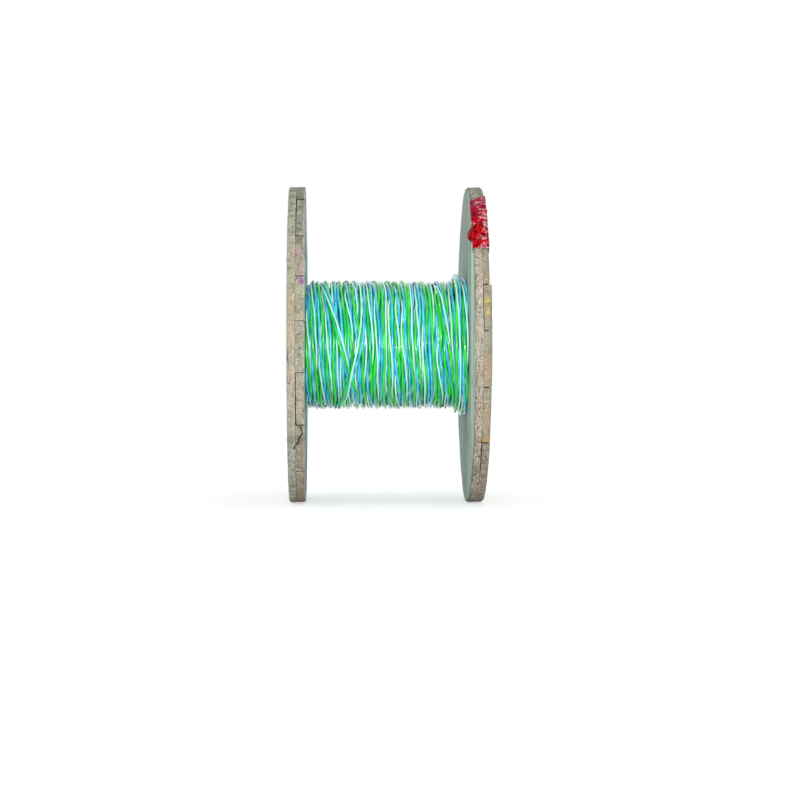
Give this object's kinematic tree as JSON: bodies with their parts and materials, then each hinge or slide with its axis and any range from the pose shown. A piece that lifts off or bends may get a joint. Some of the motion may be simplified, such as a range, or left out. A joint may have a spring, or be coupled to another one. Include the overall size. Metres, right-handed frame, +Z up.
{
  "type": "wire spool",
  "caption": "Wooden cable drum with round two-ply flanges of nailed boards on a stave barrel, wound with a twisted three-core wire, with tape on one rim.",
  "frame": {"origin": "on the ground, midway between the flanges, under the drum's axis", "axes": "+X along the spindle axis from the left flange to the right flange, +Z up, -Y towards the front"},
  "size_m": [0.3066, 0.5, 0.4979],
  "materials": {
    "outer_boards": "weathered, rough-sawn",
    "left_inner_boards": "weathered, rough-sawn",
    "right_inner_boards": "weathered, rough-sawn",
    "barrel_wood": "rough-sawn",
    "bush_steel": "dull, lightly rusted",
    "rod_steel": "dull zinc",
    "nail_steel": "rusted",
    "wire_green": "glossy insulation",
    "wire_blue": "glossy insulation",
    "wire_white": "glossy insulation",
    "tape": "glossy, crinkled"
  },
  "bodies": {
    "root": {"left_outer_board_1": "outer_boards", "left_outer_board_2": "outer_boards", "left_outer_board_3": "outer_boards", "left_outer_board_4": "outer_boards", "left_outer_board_5": "outer_boards", "left_outer_board_6": "outer_boards", "left_inner_board_1": "left_inner_boards", "left_inner_board_2": "left_inner_boards", "left_inner_board_3": "left_inner_boards", "left_inner_board_4": "left_inner_boards", "left_inner_board_5": "left_inner_boards", "left_inner_board_6": "left_inner_boards", "left_inner_board_7": "left_inner_boards", "left_inner_board_8": "left_inner_boards", "right_inner_board_1": "right_inner_boards", "right_inner_board_2": "right_inner_boards", "right_inner_board_3": "right_inner_boards", "right_inner_board_4": "right_inner_boards", "right_inner_board_5": "right_inner_boards", "right_inner_board_6": "right_inner_boards", "right_outer_board_1": "outer_boards", "right_outer_board_2": "outer_boards", "right_outer_board_3": "outer_boards", "right_outer_board_4": "outer_boards", "right_outer_board_5": "outer_boards", "right_outer_board_6": "outer_boards", "barrel_stave_1": "barrel_wood", "barrel_stave_2": "barrel_wood", "barrel_stave_3": "barrel_wood", "barrel_stave_4": "barrel_wood", "barrel_stave_5": "barrel_wood", "barrel_stave_6": "barrel_wood", "barrel_stave_7": "barrel_wood", "barrel_stave_8": "barrel_wood", "barrel_stave_9": "barrel_wood", "barrel_stave_10": "barrel_wood", "barrel_stave_11": "barrel_wood", "barrel_stave_12": "barrel_wood", "left_barrel_head": "barrel_wood", "right_barrel_head": "barrel_wood", "left_spindle_bush": "bush_steel", "right_spindle_bush": "bush_steel", "bush_nails": "nail_steel", "left_flange_nails": "nail_steel", "right_flange_nails": "nail_steel", "stave_nails": "nail_steel", "tie_rods": "rod_steel", "tie_rod_washers": "rod_steel", "tie_rod_nuts": "rod_steel", "lower_wire_layers": "wire_green", "outer_wire_layer": "wire_blue", "rim_tape": "tape"}
  },
  "joints": []
}
